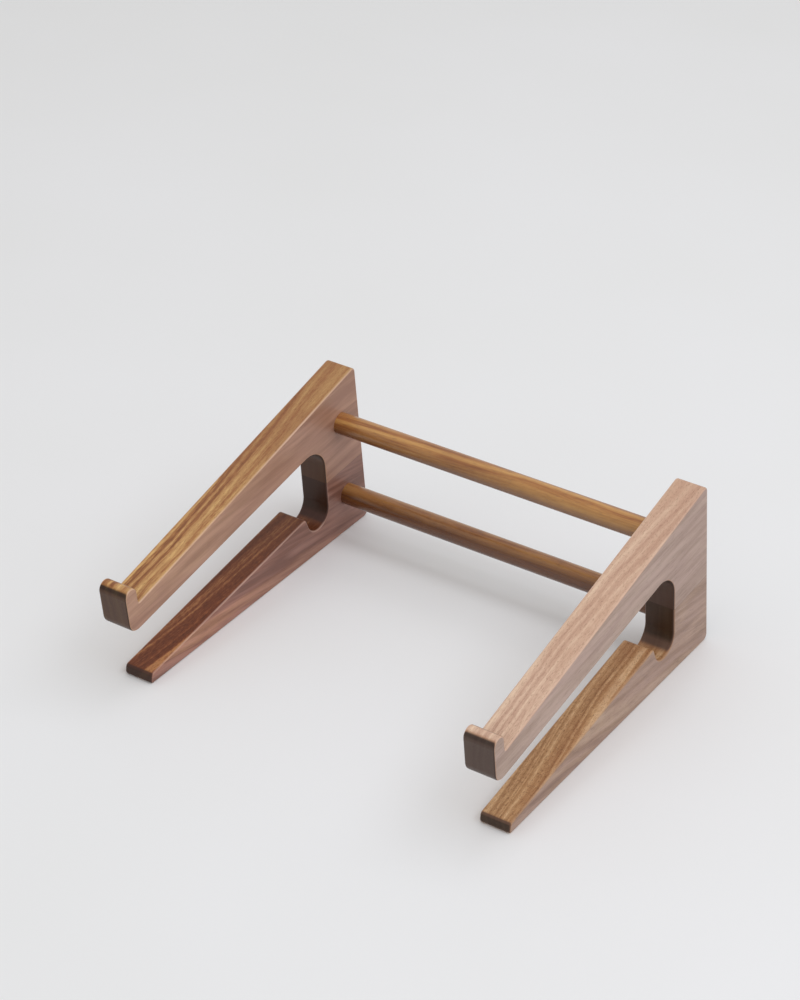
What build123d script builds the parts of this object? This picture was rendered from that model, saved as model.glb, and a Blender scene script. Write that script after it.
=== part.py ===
"""Desk stand for a laptop: two flat side frames of edge-glued boards, joined by two round rods.

Sizes are in millimetres and angles in degrees. X runs left to right, Y from the lips at the front
to the rear edges, and Z up from the desk. The origin is the bottom centre of the stand's box.
"""
import os
from math import acos, atan2, cos, hypot, radians, sin, tan

from build123d import *

os.makedirs("parts", exist_ok=True)

# ---------------------------------------------------------------- sizes of the whole stand
overall_width = 269.0          # outer face of one side frame to the outer face of the other
foot_length = 228.0            # bottom edge, from the front tip to the rear corner
height = 116.8                 # desk to the rear top corner
arm_reach = 236.1              # rear edge to the front of the lip, square to the rear edge
rear_lean = 7.4                # lean of the rear edge and of the lip, towards the front

# ---------------------------------------------------------------- boards
board_thickness = 20.0
seam_height = 49.8             # height of the glue seam where it meets the rear edge
seam_slope = 4.3               # the seam follows the upper board's grain and rises to the rear
arris_radius = 1.2             # the edges round both faces of a frame are eased

# ---------------------------------------------------------------- upper arm and lip
arm_slope = 13.8               # the surface that carries the laptop
arm_underside_slope = 10.1
arm_underside_front = 43.6     # height of the underside at the front of the lip
lip_thickness = 10.6
lip_top = 75.6                 # desk to the top of the lip
lip_round = 5.2                # nearly half the lip's thickness, so its top is a full round
lip_heel_radius = 8.0          # lower front corner of the lip
lip_fillet = 1.5               # where the lip meets the arm
rear_top_radius = 3.2

# ---------------------------------------------------------------- post and slot
post_width = 41.8              # along the bottom edge
wall_lean = 6.1                # lean of the slot's rear wall
slot_corner_radius = 17.0      # where the arm's underside meets the wall
pocket_radius = 11.0           # round pocket at the foot of the wall
pocket_flare = 2.2             # how much wider the pocket is at its mouth, beside the peak
pocket_floor = 17.7            # wood left under the pocket

# ---------------------------------------------------------------- foot
foot_slope = 9.0               # top of the foot
tip_height = 6.8
tip_lean = 8.0                 # lean of the tip's face, towards the rear
tip_top_radius = 3.0
tip_bottom_radius = 2.0
peak_radius = 3.0
rear_foot_radius = 4.0

# ---------------------------------------------------------------- rods
rod_diameter = 14.0
rod_setback = 20.4             # rear edge to a rod's centre, along Y
lower_rod_height = 28.0
upper_rod_height = 83.8
rod_seat = 12.0                # length of rod inside each frame
rod_end_chamfer = 0.6
glue_clearance = 0.05          # all round the rod, filled with glue
bore_end_gap = 0.5             # room for glue beyond the rod's end


def rear_edge(z):
    """Y of the rear edge at height z."""
    return foot_length - z * tan(radians(rear_lean))


def slot_wall(z):
    """Y of the slot's rear wall at height z."""
    return foot_length - post_width - z * tan(radians(wall_lean))


def meet(point_a, angle_a, point_b, angle_b):
    """Point where two lines cross, each given by a point and its angle from +Y."""
    ay, az = point_a
    by, bz = point_b
    ua, va = cos(radians(angle_a)), sin(radians(angle_a))
    ub, vb = cos(radians(angle_b)), sin(radians(angle_b))
    along = ((by - ay) * vb - (bz - az) * ub) / (ua * vb - va * ub)
    return ay + along * ua, az + along * va


# ---------------------------------------------------------------- side profile, as (y, z) points
forward_lean = 90 + rear_lean
rear_foot = (foot_length, 0.0)
rear_top = (rear_edge(height), height)

lip_front = (foot_length - arm_reach / cos(radians(rear_lean)), 0.0)
lip_back = (lip_front[0] + lip_thickness / cos(radians(rear_lean)), 0.0)
lip_heel = meet(lip_front, forward_lean, (0.0, arm_underside_front), 0.0)
lip_root = meet(lip_back, forward_lean, rear_top, arm_slope)
lip_centre_z = lip_top - lip_thickness / 2
lip_centre_y = (lip_front[0] + lip_back[0]) / 2 - lip_centre_z * tan(radians(rear_lean))
lip_end = (lip_centre_y - sin(radians(rear_lean)) * lip_thickness / 2,
           lip_centre_z + cos(radians(rear_lean)) * lip_thickness / 2)
lip_end_back = meet(lip_end, rear_lean, lip_back, forward_lean)
lip_end_front = meet(lip_end, rear_lean, lip_front, forward_lean)

slot_corner = meet(lip_heel, arm_underside_slope, (slot_wall(0.0), 0.0), 90 + wall_lean)

tip_bottom = (0.0, 0.0)
tip_top = (tip_height * tan(radians(tip_lean)), tip_height)
pocket_mouth = 2 * pocket_radius + pocket_flare
peak = meet(tip_top, foot_slope, (slot_wall(0.0) - pocket_mouth, 0.0), 90 + wall_lean)

# The pocket is a circle that touches the wall, and the cut behind the peak is a tangent to it.
pocket_z = pocket_floor + pocket_radius
pocket_y = slot_wall(pocket_z) - pocket_radius / cos(radians(wall_lean))
pocket_wall = (pocket_y + pocket_radius * cos(radians(wall_lean)),
               pocket_z + pocket_radius * sin(radians(wall_lean)))
peak_distance = hypot(peak[0] - pocket_y, peak[1] - pocket_z)
cut_turn = atan2(peak[1] - pocket_z, peak[0] - pocket_y) + acos(pocket_radius / peak_distance)
pocket_cut = (pocket_y + pocket_radius * cos(cut_turn), pocket_z + pocket_radius * sin(cut_turn))
pocket_bottom = (pocket_y, pocket_floor)

outline = Polyline(pocket_cut, peak, tip_top, tip_bottom, rear_foot, rear_top, lip_root,
                   lip_end_back, lip_end_front, lip_heel, slot_corner, pocket_wall)
outline += ThreePointArc(pocket_wall, pocket_bottom, pocket_cut)
profile = make_face(outline)

corner_radii = [
    (peak, peak_radius),
    (tip_top, tip_top_radius),
    (tip_bottom, tip_bottom_radius),
    (rear_foot, rear_foot_radius),
    (rear_top, rear_top_radius),
    (lip_root, lip_fillet),
    (lip_end_back, lip_round),
    (lip_end_front, lip_round),
    (lip_heel, lip_heel_radius),
    (slot_corner, slot_corner_radius),
]
for corner, radius in corner_radii:
    vertex = profile.vertices().sort_by_distance((corner[0], corner[1], 0.0))[0]
    profile = fillet(vertex, radius)


# ---------------------------------------------------------------- right side frame
inner_face = overall_width / 2 - board_thickness
shift_y = -profile.bounding_box().center().X

frame_body = extrude(Plane.YZ * profile, board_thickness)
frame_faces = frame_body.faces().sort_by(Axis.X)
frame_body = fillet(frame_faces[0].edges() + frame_faces[-1].edges(), arris_radius)
frame_body = Pos(inner_face, shift_y, 0) * frame_body


def rod_place(rod_height):
    """Middle of a rod, between the two frames."""
    return Pos(0, rear_edge(rod_height) - rod_setback + shift_y, rod_height)


rod_places = {"upper_rod": rod_place(upper_rod_height), "lower_rod": rod_place(lower_rod_height)}
bore_depth = rod_seat + bore_end_gap
for place in rod_places.values():
    bore = Cylinder(rod_diameter / 2 + glue_clearance, bore_depth, rotation=(0, 90, 0))
    frame_body -= place * Pos(inner_face + bore_depth / 2, 0, 0) * bore

# ---------------------------------------------------------------- boards, parted at the glue seam
seam = Plane(
    origin=(0, rear_edge(seam_height) + shift_y, seam_height),
    x_dir=(1, 0, 0),
    z_dir=(0, -sin(radians(seam_slope)), cos(radians(seam_slope))),
)
right_boards = {
    "upper_board": split(frame_body, bisect_by=seam, keep=Keep.TOP),
    "lower_board": split(frame_body, bisect_by=seam, keep=Keep.BOTTOM),
}
for name, board in right_boards.items():
    export_step(board, "parts/right_" + name + ".step")
    export_step(mirror(board, about=Plane.YZ), "parts/left_" + name + ".step")

# ---------------------------------------------------------------- rods
rod_length = 2 * (inner_face + rod_seat)
for name, place in rod_places.items():
    rod = Cylinder(rod_diameter / 2, rod_length, rotation=(0, 90, 0))
    rod = chamfer(rod.edges().filter_by(GeomType.CIRCLE), rod_end_chamfer)
    export_step(place * rod, "parts/" + name + ".step")
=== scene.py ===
"""Looks for a desk stand in oiled walnut: two side frames of edge-glued boards and two round rods.

Lengths are in metres unless a name ends in _mm. X runs left to right, Y from the lips at the
front to the rear edges, and Z up from the desk.
"""

from math import cos, radians, sin

import bmesh
import bpy
from mathutils import Matrix, Vector


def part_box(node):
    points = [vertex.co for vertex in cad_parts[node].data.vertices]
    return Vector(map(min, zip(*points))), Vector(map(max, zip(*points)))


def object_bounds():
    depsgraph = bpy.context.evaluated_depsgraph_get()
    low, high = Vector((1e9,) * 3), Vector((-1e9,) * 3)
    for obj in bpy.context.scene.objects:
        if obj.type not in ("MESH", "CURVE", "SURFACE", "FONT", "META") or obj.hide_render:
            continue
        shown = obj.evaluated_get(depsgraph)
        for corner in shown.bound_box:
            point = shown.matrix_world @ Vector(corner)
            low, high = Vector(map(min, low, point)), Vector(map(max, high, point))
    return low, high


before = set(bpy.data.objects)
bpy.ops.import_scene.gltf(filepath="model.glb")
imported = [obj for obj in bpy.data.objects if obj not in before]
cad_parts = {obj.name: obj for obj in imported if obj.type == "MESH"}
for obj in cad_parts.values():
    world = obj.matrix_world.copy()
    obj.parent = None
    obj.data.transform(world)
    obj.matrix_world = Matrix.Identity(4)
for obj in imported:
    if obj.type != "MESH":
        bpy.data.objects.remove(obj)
cad_low, cad_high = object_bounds()
stand_centre = (cad_low + cad_high) / 2
scene = bpy.context.scene

MM = 0.001
MM_PER_METRE = 1000.0          # object coordinates are metres, wood is drawn in millimetres

# Sockets of a Mix node set to colours.
MIX_SHARE, MIX_UNDER, MIX_OVER, MIX_RESULT = 0, 6, 7, 2

GRAIN_UPPER_DEG = 5.0          # grain of the upper boards rises to the rear
GRAIN_LOWER_DEG = -7.0         # grain of the lower boards falls to the rear
SEAM_DEG = 4.3                 # the glue seam rises to the rear
EASED_EDGE = 1.2 * MM          # radius of the edges round both faces of a frame
PORE_ROUGHNESS = 0.16          # how much duller a pore is than the wood beside it
PORE_DEPTH = 0.8               # beside the relief of the fibres


# ---------------------------------------------------------------- small helpers
def colour(hex_code):
    """An sRGB hex colour as linear RGBA."""
    parts = [int(hex_code[i:i + 2], 16) / 255 for i in (1, 3, 5)]
    return [p / 12.92 if p <= 0.04045 else ((p + 0.055) / 1.055) ** 2.4 for p in parts] + [1.0]


def add(tree, kind, settings=None, links=None):
    """Adds a node with its settings, then its links.

    A settings key is an attribute of the node, or else a socket's name or number. The key
    "stops" gives a colour ramp its (position, hex colour) pairs, in order.
    """
    node = tree.nodes.new(kind)
    for key, value in (settings or {}).items():
        if key == "stops":
            elements = node.color_ramp.elements
            elements.remove(elements[-1])
            for i, (position, hex_code) in enumerate(value):
                element = elements[0] if i == 0 else elements.new(position)
                element.position = position
                element.color = colour(hex_code)
        elif isinstance(key, str) and hasattr(node, key):
            setattr(node, key, value)
        else:
            node.inputs[key].default_value = value
    for key, source in (links or {}).items():
        tree.links.new(source, node.inputs[key])
    return node


def empty_material(name):
    """A new material and its node tree, with nothing in it."""
    material = bpy.data.materials.new(name)
    material.use_nodes = True
    material.node_tree.nodes.clear()
    return material, material.node_tree


# ---------------------------------------------------------------- what walnut is made of
def log_space(tree, where, along, rise_deg, pith_mm):
    """Millimetres in the log, with the grain along Y and the pith at X = Z = 0."""
    if along == "Y":
        turn = (-radians(rise_deg), 0.0, 0.0)
        grain_direction = (0.0, cos(radians(rise_deg)), sin(radians(rise_deg)))
    else:
        turn = (0.0, 0.0, radians(90 - rise_deg))
        grain_direction = (cos(radians(rise_deg)), sin(radians(rise_deg)), 0.0)
    place = add(tree, "ShaderNodeMapping",
                {"Location": (-pith_mm[0], 0.0, -pith_mm[1]), "Rotation": turn,
                 "Scale": (MM_PER_METRE,) * 3}, {"Vector": where})
    return place.outputs["Vector"], grain_direction


def sized_noise(tree, millimetres, width_mm, length_mm, settings):
    """Noise in cells of a real size, across the grain and along it."""
    per_mm = (1 / width_mm, 1 / length_mm, 1 / width_mm)
    place = add(tree, "ShaderNodeVectorMath", {"operation": "MULTIPLY", 1: per_mm}, {0: millimetres})
    return add(tree, "ShaderNodeTexNoise", {"Scale": 1.0, **settings}, {"Vector": place.outputs[0]})


def wandering(tree, millimetres):
    """Millimetres pushed about, because a trunk's rings wander by a few millimetres."""
    wander = sized_noise(tree, millimetres, 38, 150, {"Detail": 2.0, "Roughness": 0.45})
    centred = add(tree, "ShaderNodeVectorMath", {"operation": "SUBTRACT", 1: (0.5, 0.5, 0.5)},
                  {0: wander.outputs["Color"]})
    reach_mm = (14.0, 0.0, 14.0)
    shifted = add(tree, "ShaderNodeVectorMath", {"operation": "MULTIPLY_ADD", 1: reach_mm},
                  {0: centred.outputs[0], 2: millimetres})
    return shifted.outputs[0]


def grown_wood(tree, swirl, ring_mm, contrast, tones):
    """Colour from yearly growth, bands of several years, and fibres along the grain."""
    taper = 0.035              # the trunk narrows upwards, so its rings run out of a board
    flat = add(tree, "ShaderNodeVectorMath", {"operation": "MULTIPLY", 1: (1.0, taper, 1.0)},
               {0: swirl})
    radius = add(tree, "ShaderNodeVectorMath", {"operation": "LENGTH"}, {0: flat.outputs[0]})
    growth = add(tree, "ShaderNodeTexNoise",
                 {"noise_dimensions": "1D", "Scale": 1 / ring_mm, "Detail": 3.0, "Roughness": 0.55},
                 {"W": radius.outputs["Value"]})
    band_mm = 4.5 * ring_mm
    bands = add(tree, "ShaderNodeTexNoise",
                {"noise_dimensions": "1D", "Scale": 1 / band_mm, "Detail": 1.0},
                {"W": radius.outputs["Value"]})
    fibres = sized_noise(tree, swirl, 1.1, 34, {"Detail": 3.0, "Roughness": 0.6})
    band_share, growth_share, fibre_share = 0.36, 0.42, 0.30
    band_part = add(tree, "ShaderNodeMath", {"operation": "MULTIPLY", 1: band_share},
                    {0: bands.outputs["Fac"]})
    streak = add(tree, "ShaderNodeMath", {"operation": "MULTIPLY_ADD", 1: growth_share},
                 {0: growth.outputs["Fac"], 2: band_part.outputs[0]})
    tone = add(tree, "ShaderNodeMath", {"operation": "MULTIPLY_ADD", 1: fibre_share},
               {0: fibres.outputs["Fac"], 2: streak.outputs[0]})
    # The three noises keep near their middle, so the tone is spread over the whole ramp.
    middle, reach = 0.54, 0.11 / contrast
    spread = add(tree, "ShaderNodeMapRange",
                 {"From Min": middle - reach, "From Max": middle + reach}, {"Value": tone.outputs[0]})
    ramp = add(tree, "ShaderNodeValToRGB", {"stops": tones}, {"Fac": spread.outputs[0]})
    return ramp.outputs["Color"], fibres.outputs["Fac"]


def warm_patches(tree, millimetres, wood, tone, share):
    """Patches a few centimetres long, crossed by the soft waves of curly figure."""
    patches = sized_noise(tree, millimetres, 18, 60, {"Detail": 2.0, "Roughness": 0.5})
    waves = sized_noise(tree, millimetres, 14, 9, {"Detail": 1.0, "Distortion": 0.6})
    wave_part = add(tree, "ShaderNodeMapRange",
                    {"From Min": 0.3, "From Max": 0.7, "To Min": 0.45, "To Max": 1.0},
                    {"Value": waves.outputs["Fac"]})
    patch_part = add(tree, "ShaderNodeMapRange",
                     {"interpolation_type": "SMOOTHSTEP", "From Min": 0.42, "From Max": 0.64,
                      "To Max": share}, {"Value": patches.outputs["Fac"]})
    waved = add(tree, "ShaderNodeMath", {"operation": "MULTIPLY"},
                {0: patch_part.outputs[0], 1: wave_part.outputs[0]})
    patched = add(tree, "ShaderNodeMix", {"data_type": "RGBA", MIX_OVER: colour(tone)},
                  {MIX_SHARE: waved.outputs[0], MIX_UNDER: wood})
    return patched.outputs[MIX_RESULT], patches.outputs["Fac"]


def heartwood(tree, millimetres, wood, start_mm, end_mm, tone, share):
    """Deeper colour towards the rear, where the board was cut nearer the heart of the log."""
    place = add(tree, "ShaderNodeSeparateXYZ", links={0: millimetres})
    heart_part = add(tree, "ShaderNodeMapRange",
                     {"interpolation_type": "SMOOTHSTEP", "From Min": start_mm, "From Max": end_mm,
                      "To Max": share}, {"Value": place.outputs["Y"]})
    deepened = add(tree, "ShaderNodeMix", {"data_type": "RGBA", MIX_OVER: colour(tone)},
                   {MIX_SHARE: heart_part.outputs[0], MIX_UNDER: wood})
    return deepened.outputs[MIX_RESULT]


def open_pores(tree, millimetres, wood, share):
    """Pores: real ones are 0.2 mm wide, too fine to show, so they are drawn 0.35 mm by 4.5 mm."""
    pores = sized_noise(tree, millimetres, 0.35, 4.5, {"Detail": 1.0, "Roughness": 0.4})
    pore_part = add(tree, "ShaderNodeMapRange",
                    {"interpolation_type": "SMOOTHSTEP", "From Min": 0.55, "From Max": 0.73,
                     "To Max": share}, {"Value": pores.outputs["Fac"]})
    pored = add(tree, "ShaderNodeMix",
                {"data_type": "RGBA", "blend_type": "MULTIPLY", MIX_OVER: colour("#7C563E")},
                {MIX_SHARE: pore_part.outputs[0], MIX_UNDER: wood})
    return pored.outputs[MIX_RESULT], pore_part.outputs[0]


def facing(tree, normal, direction):
    """How squarely the surface faces a direction, either way: 0 is along it and 1 is square."""
    lean = add(tree, "ShaderNodeVectorMath", {"operation": "DOT_PRODUCT", 1: direction}, {0: normal})
    size = add(tree, "ShaderNodeMath", {"operation": "ABSOLUTE"}, {0: lean.outputs["Value"]})
    return size.outputs[0]


def flat_face_and_sheen(tree, swirl, sideways, wood, dark, light, share):
    """The wide faces are flat sawn: calmer than the edges, a little mauve, in soft broad streaks.
    Their greyish mauve is partly the wood's and partly a painted sheen, the satin's reflection of the
    pale floor.
    """
    streaks = sized_noise(tree, swirl, 5, 70, {"Detail": 2.0, "Roughness": 0.6})
    mauve = add(tree, "ShaderNodeValToRGB", {"stops": [(0.36, dark), (0.64, light)]},
                {"Fac": streaks.outputs["Fac"]})
    face_part = add(tree, "ShaderNodeMapRange",
                    {"From Min": 0.6, "From Max": 0.97, "To Max": share}, {"Value": sideways})
    faced = add(tree, "ShaderNodeMix", {"data_type": "RGBA"},
                {MIX_SHARE: face_part.outputs[0], MIX_UNDER: wood, MIX_OVER: mauve.outputs["Color"]})
    return faced.outputs[MIX_RESULT]


def eased_edges(tree, where, sideways, patches, wood, faces_x, tone):
    """The eased edges round both faces are rubbed down to paler wood, unevenly; the paler tone also
    carries a painted highlight along them.
    """
    middle_x = (faces_x[0] + faces_x[1]) / 2
    half = (faces_x[1] - faces_x[0]) / 2
    place = add(tree, "ShaderNodeSeparateXYZ", links={0: where})
    from_middle = add(tree, "ShaderNodeMath", {"operation": "SUBTRACT", 1: middle_x},
                      {0: place.outputs["X"]})
    depth = add(tree, "ShaderNodeMath", {"operation": "ABSOLUTE"}, {0: from_middle.outputs[0]})
    not_flat = add(tree, "ShaderNodeMapRange", {"From Min": 0.99, "From Max": 0.85},
                   {"Value": sideways})
    near_face = add(tree, "ShaderNodeMapRange",
                    {"From Min": half - EASED_EDGE, "From Max": half - EASED_EDGE / 3},
                    {"Value": depth.outputs[0]})
    rubbed = add(tree, "ShaderNodeMath", {"operation": "MULTIPLY"},
                 {0: not_flat.outputs[0], 1: near_face.outputs[0]})
    uneven = add(tree, "ShaderNodeMath", {"operation": "MULTIPLY"}, {0: rubbed.outputs[0], 1: patches})
    worn_and_highlit = add(tree, "ShaderNodeMix", {"data_type": "RGBA", MIX_OVER: colour(tone)},
               {MIX_SHARE: uneven.outputs[0], MIX_UNDER: wood})
    return worn_and_highlit.outputs[MIX_RESULT]


def end_grain_and_shade(tree, across, wood, amber, dark_band, tone):
    """End grain drinks more oil, and its dark also holds painted shade: amber as the surface turns,
    then darkest, then a calm dark.
    """
    end_part = add(tree, "ShaderNodeMapRange",
                   {"interpolation_type": "SMOOTHSTEP", "From Min": 0.28, "From Max": 0.72,
                    "To Max": 0.94}, {"Value": across})
    depth = add(tree, "ShaderNodeValToRGB",
                {"stops": [(0.48, amber), (0.66, dark_band), (0.86, dark_band), (0.965, tone)]},
                {"Fac": across})
    ended = add(tree, "ShaderNodeMix", {"data_type": "RGBA"},
                {MIX_SHARE: end_part.outputs[0], MIX_UNDER: wood, MIX_OVER: depth.outputs["Color"]})
    return ended.outputs[MIX_RESULT]


def glue_line(tree, where, wood, seam_y, seam_z):
    """A hair of dark glue shows where the two boards of a frame meet."""
    seam_normal = (0.0, -sin(radians(SEAM_DEG)), cos(radians(SEAM_DEG)))
    offset = seam_normal[1] * seam_y + seam_normal[2] * seam_z
    height = add(tree, "ShaderNodeVectorMath", {"operation": "DOT_PRODUCT", 1: seam_normal},
                 {0: where})
    gap = add(tree, "ShaderNodeMath", {"operation": "SUBTRACT", 1: offset},
              {0: height.outputs["Value"]})
    gap_size = add(tree, "ShaderNodeMath", {"operation": "ABSOLUTE"}, {0: gap.outputs[0]})
    glue_part = add(tree, "ShaderNodeMapRange",
                    {"From Min": 0.35 * MM, "From Max": 0.05 * MM, "To Max": 0.35},
                    {"Value": gap_size.outputs[0]})
    glued = add(tree, "ShaderNodeMix", {"data_type": "RGBA", MIX_OVER: colour("#3B2419")},
                {MIX_SHARE: glue_part.outputs[0], MIX_UNDER: wood})
    return glued.outputs[MIX_RESULT]


def finish_coat(tree, wood, pore_part, fibres, roughness, shine, gloss):
    """Oil or varnish over the wood: pores stay duller and sit a little lower than the fibres."""
    rough = add(tree, "ShaderNodeMapRange",
                {"To Min": roughness, "To Max": roughness + PORE_ROUGHNESS}, {"Value": pore_part})
    relief = add(tree, "ShaderNodeMath", {"operation": "MULTIPLY_ADD", 1: -PORE_DEPTH},
                 {0: pore_part, 2: fibres})
    bump = add(tree, "ShaderNodeBump", {"Strength": 0.35, "Distance": 0.12 * MM},
               {"Height": relief.outputs[0]})
    shader = add(tree, "ShaderNodeBsdfPrincipled",
                 {"IOR": 1.5, "Specular IOR Level": shine, "Coat Weight": gloss,
                  "Coat Roughness": 0.3},
                 {"Base Color": wood, "Roughness": rough.outputs[0], "Normal": bump.outputs[0]})
    add(tree, "ShaderNodeOutputMaterial", links={"Surface": shader.outputs[0]})


# ---------------------------------------------------------------- the two walnut finishes
def oiled_board(side, part, name, pith_mm, ring_mm, contrast, tones, patch_tone, patch_share,
                heart, pore_share, face_sheen_tones, face_share, wear_and_highlight_tone, ends):
    """Planed walnut board, sanded and oiled to a satin.

    The pattern is solid, from rings round a pith beside the board. So the long edges show
    streaks, the ends are dark, and the faces meet at the corners as in real wood. The dark of the ends
    also holds painted shade.
    """
    material, tree = empty_material(name)
    place = add(tree, "ShaderNodeTexCoord")
    where, normal = place.outputs["Object"], place.outputs["Normal"]
    low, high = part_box(f"{side}_{part}")
    # The glue seam ends where the upper board reaches furthest back and the lower one is highest.
    seam_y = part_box(f"{side}_upper_board")[1].y
    seam_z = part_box(f"{side}_lower_board")[1].z
    rise_deg = GRAIN_UPPER_DEG if part == "upper_board" else GRAIN_LOWER_DEG

    millimetres, grain_direction = log_space(tree, where, "Y", rise_deg, pith_mm)
    swirl = wandering(tree, millimetres)
    sideways = facing(tree, normal, (1.0, 0.0, 0.0))
    across = facing(tree, normal, grain_direction)
    wood, fibres = grown_wood(tree, swirl, ring_mm, contrast, tones)
    wood, patches = warm_patches(tree, millimetres, wood, patch_tone, patch_share)
    wood = heartwood(tree, millimetres, wood, **heart)
    wood, pore_part = open_pores(tree, millimetres, wood, pore_share)
    # Greyish mauve on the wide faces: flat-sawn calm, and a painted sheen.
    wood = flat_face_and_sheen(tree, swirl, sideways, wood, *face_sheen_tones, face_share)
    # Paler edges: rubbed wood, and a painted highlight along the arris.
    wood = eased_edges(tree, where, sideways, patches, wood, (low.x, high.x), wear_and_highlight_tone)
    # Dark end grain, which also holds painted shade.
    wood = end_grain_and_shade(tree, across, wood, **ends)
    wood = glue_line(tree, where, wood, seam_y, seam_z)
    finish_coat(tree, wood, pore_part, fibres, roughness=0.40, shine=0.32, gloss=0.1)
    return material


def deeper_underside(tree, normal, wood, start, full, tone):
    """Shade drawn into the colour under a rod, which the soft light here leaves too pale.

    It isn't a property of the wood, so a scene with stronger light from above can leave it out.
    It starts and is full where the surface's normal points that far up, from 1 down to -1.
    """
    up = add(tree, "ShaderNodeSeparateXYZ", links={0: normal})
    under_part = add(tree, "ShaderNodeMapRange",
                     {"From Min": start, "From Max": full}, {"Value": up.outputs["Z"]})
    deepened = add(tree, "ShaderNodeMix",
                   {"data_type": "RGBA", "blend_type": "MULTIPLY", MIX_OVER: colour(tone)},
                   {MIX_SHARE: under_part.outputs[0], MIX_UNDER: wood})
    return deepened.outputs[MIX_RESULT]


def varnished_rod(name, rise_deg, pith_mm, ring_mm, contrast, tones, patch_tone, patch_share,
                  underside):
    """Turned walnut rod under a glossier varnish, which deepens the colour."""
    material, tree = empty_material(name)
    place = add(tree, "ShaderNodeTexCoord")
    millimetres, _ = log_space(tree, place.outputs["Object"], "X", rise_deg, pith_mm)
    swirl = wandering(tree, millimetres)
    wood, fibres = grown_wood(tree, swirl, ring_mm, contrast, tones)
    wood, _ = warm_patches(tree, millimetres, wood, patch_tone, patch_share)
    wood, pore_part = open_pores(tree, millimetres, wood, share=0.35)
    wood = deeper_underside(tree, place.outputs["Normal"], wood, **underside)
    finish_coat(tree, wood, pore_part, fibres, roughness=0.24, shine=0.5, gloss=0.5)
    return material


# On every board the wide-face tones hold a painted sheen, the edge tone is paler wood and partly a
# painted highlight, and the end tones hold painted shade besides the end grain's own dark.
materials = {
    # Golden sapwood streaks on the edges, and calm mauve brown faces with a painted sheen.
    "left_upper_board": oiled_board(
        "left", "upper_board", "walnut_oiled_golden",
        pith_mm=(-232.0, 50.0), ring_mm=4.2, contrast=0.9,
        tones=[(0.0, "#82502F"), (0.25, "#A87244"), (0.5, "#C49660"), (0.75, "#D4A86C"),
               (1.0, "#E6BE7E")],
        patch_tone="#96603C", patch_share=0.5,
        heart=dict(start_mm=-90.0, end_mm=70.0, tone="#8E5C3A", share=0.62),
        pore_share=0.3, face_sheen_tones=("#997264", "#B88F7E"), face_share=0.75, wear_and_highlight_tone="#E0BEA6",
        ends=dict(amber="#A4703C", dark_band="#220E04", tone="#462C1C")),
    # Dark red brown heartwood, with a few orange streaks.
    "left_lower_board": oiled_board(
        "left", "lower_board", "walnut_oiled_red_brown",
        pith_mm=(-240.0, 60.0), ring_mm=4.0, contrast=0.85,
        tones=[(0.0, "#4C220F"), (0.4, "#70381B"), (0.7, "#8A4E2C"), (1.0, "#B27A4C")],
        patch_tone="#562814", patch_share=0.3,
        heart=dict(start_mm=-50.0, end_mm=60.0, tone="#54301E", share=0.55),
        pore_share=0.35, face_sheen_tones=("#926A5E", "#CA9A8C"), face_share=0.5, wear_and_highlight_tone="#D8B4A4",
        ends=dict(amber="#6A3A22", dark_band="#452820", tone="#341E12")),
    # Pale tan with fine short flecks.
    "right_upper_board": oiled_board(
        "right", "upper_board", "walnut_oiled_tan",
        pith_mm=(225.0, 60.0), ring_mm=4.0, contrast=0.7,
        tones=[(0.0, "#B68F7A"), (0.35, "#CEAA92"), (0.65, "#DCBCA2"), (1.0, "#EACEB2")],
        patch_tone="#C29A80", patch_share=0.4,
        heart=dict(start_mm=10.0, end_mm=110.0, tone="#B68C74", share=0.45),
        pore_share=0.35, face_sheen_tones=("#7E6E6A", "#AC9894"), face_share=0.55, wear_and_highlight_tone="#DCB8A0",
        ends=dict(amber="#A06C48", dark_band="#200C06", tone="#3E2A22")),
    # Golden brown with dark pores.
    "right_lower_board": oiled_board(
        "right", "lower_board", "walnut_oiled_mid_brown",
        pith_mm=(232.0, 50.0), ring_mm=3.0, contrast=0.75,
        tones=[(0.0, "#906440"), (0.4, "#B0845A"), (0.7, "#C89E72"), (1.0, "#DEB990")],
        patch_tone="#9A6440", patch_share=0.4,
        heart=dict(start_mm=-30.0, end_mm=90.0, tone="#9A6844", share=0.35),
        pore_share=0.55, face_sheen_tones=("#887570", "#B6A09A"), face_share=0.55, wear_and_highlight_tone="#BC9674",
        ends=dict(amber="#9A6C4A", dark_band="#5A4034", tone="#2C1B10")),
    # Honey gold with a few dark streaks, and shade drawn underneath.
    "upper_rod": varnished_rod(
        "walnut_varnished_honey", rise_deg=1.2,
        pith_mm=(100.0, 30.0), ring_mm=5.5, contrast=0.55,
        tones=[(0.0, "#6C3A1A"), (0.3, "#A06632"), (0.6, "#C08C4E"), (1.0, "#D6A460")],
        patch_tone="#84502C", patch_share=0.4,
        underside=dict(start=0.8, full=-0.4, tone="#A08D7A")),
    # Russet, and shade drawn underneath.
    "lower_rod": varnished_rod(
        "walnut_varnished_russet", rise_deg=-0.8,
        pith_mm=(100.0, -40.0), ring_mm=7.0, contrast=0.65,
        tones=[(0.0, "#5A3016"), (0.35, "#88542C"), (0.6, "#A26E3C"), (1.0, "#B6864C")],
        patch_tone="#764222", patch_share=0.5,
        underside=dict(start=1.0, full=0.4, tone="#A58E70")),
}
for node_name, material in materials.items():
    for material_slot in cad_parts[node_name].material_slots:
        material_slot.material = material


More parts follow.
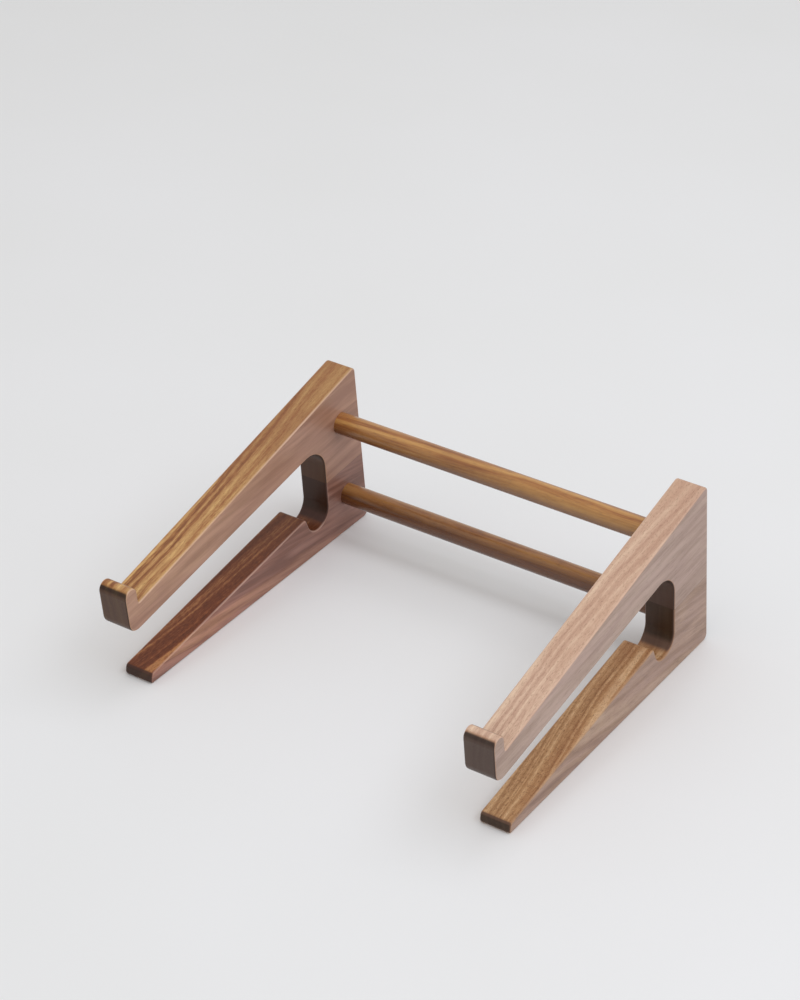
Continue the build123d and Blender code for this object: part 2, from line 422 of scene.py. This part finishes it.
# ---------------------------------------------------------------- floor
def matt_table(name):
    """Matt white laminate: pale, with the faint unevenness of a real sheet."""
    material, tree = empty_material(name)
    place = add(tree, "ShaderNodeTexCoord")
    mottle = add(tree, "ShaderNodeTexNoise", {"Scale": 1 / (240 * MM), "Detail": 2.0},
                 {"Vector": place.outputs["Object"]})
    ramp = add(tree, "ShaderNodeValToRGB", {"stops": [(0.3, "#EBEBEB"), (0.7, "#EDEDEE")]},
               {"Fac": mottle.outputs["Fac"]})
    shader = add(tree, "ShaderNodeBsdfPrincipled", {"Roughness": 0.6, "IOR": 1.4},
                 {"Base Color": ramp.outputs["Color"]})
    add(tree, "ShaderNodeOutputMaterial", links={"Surface": shader.outputs[0]})
    return material


FLOOR_HALF = 6.0
floor_mesh = bpy.data.meshes.new("floor")
floor_shape = bmesh.new()
bmesh.ops.create_grid(floor_shape, x_segments=1, y_segments=1, size=FLOOR_HALF)
floor_shape.to_mesh(floor_mesh)
floor_shape.free()
floor = bpy.data.objects.new("floor", floor_mesh)
scene.collection.objects.link(floor)
floor_mesh.materials.append(matt_table("laminate_matt_white"))


# ---------------------------------------------------------------- light
def softbox(name, place, size, power, tint, aim):
    """A rectangular softbox, aimed at a point."""
    data = bpy.data.lights.new(name, "AREA")
    data.shape = "RECTANGLE"
    data.size, data.size_y = size
    data.energy = power
    data.color = colour(tint)[:3]
    lamp = bpy.data.objects.new(name, data)
    lamp.location = place
    lamp.rotation_euler = (Vector(aim) - Vector(place)).to_track_quat("-Z", "Y").to_euler()
    scene.collection.objects.link(lamp)


softbox("overhead_softbox", place=(0.70, 0.10, 2.0), size=(2.4, 2.2), power=24.2, tint="#F4F7FF",
        aim=stand_centre)

world = bpy.data.worlds.new("studio")
scene.world = world
world.use_nodes = True
studio = world.node_tree
studio.nodes.clear()
background = add(studio, "ShaderNodeBackground", {"Color": colour("#F7F6F3"), "Strength": 0.67})
add(studio, "ShaderNodeOutputWorld", links={"Surface": background.outputs[0]})
scene.view_settings.view_transform = "Standard"

# ---------------------------------------------------------------- camera, at the front right
VIEW_AZIMUTH = radians(33.46)
VIEW_ELEVATION = radians(32.29)
CAMERA_ROLL = radians(0.42)
CAMERA_DISTANCE = 1.6229
CAMERA_LENS_MM = 99.40
SENSOR_MM = 36.0
AIM_OFFSET = Vector((-0.0202, 0.0183, 0.0409))   # from the middle of the stand

back = Vector((sin(VIEW_AZIMUTH) * cos(VIEW_ELEVATION),
               -cos(VIEW_AZIMUTH) * cos(VIEW_ELEVATION), sin(VIEW_ELEVATION)))
level_right = (-back).cross(Vector((0, 0, 1))).normalized()
level_up = level_right.cross(-back)
right = cos(CAMERA_ROLL) * level_right + sin(CAMERA_ROLL) * level_up
up = cos(CAMERA_ROLL) * level_up - sin(CAMERA_ROLL) * level_right

camera_data = bpy.data.cameras.new("camera")
camera_data.lens = CAMERA_LENS_MM
camera_data.sensor_width = SENSOR_MM
camera = bpy.data.objects.new("camera", camera_data)
camera.matrix_world = Matrix.Translation(stand_centre + AIM_OFFSET + back * CAMERA_DISTANCE) @ (
    Matrix((right, up, back)).transposed().to_4x4())
scene.collection.objects.link(camera)
scene.camera = camera
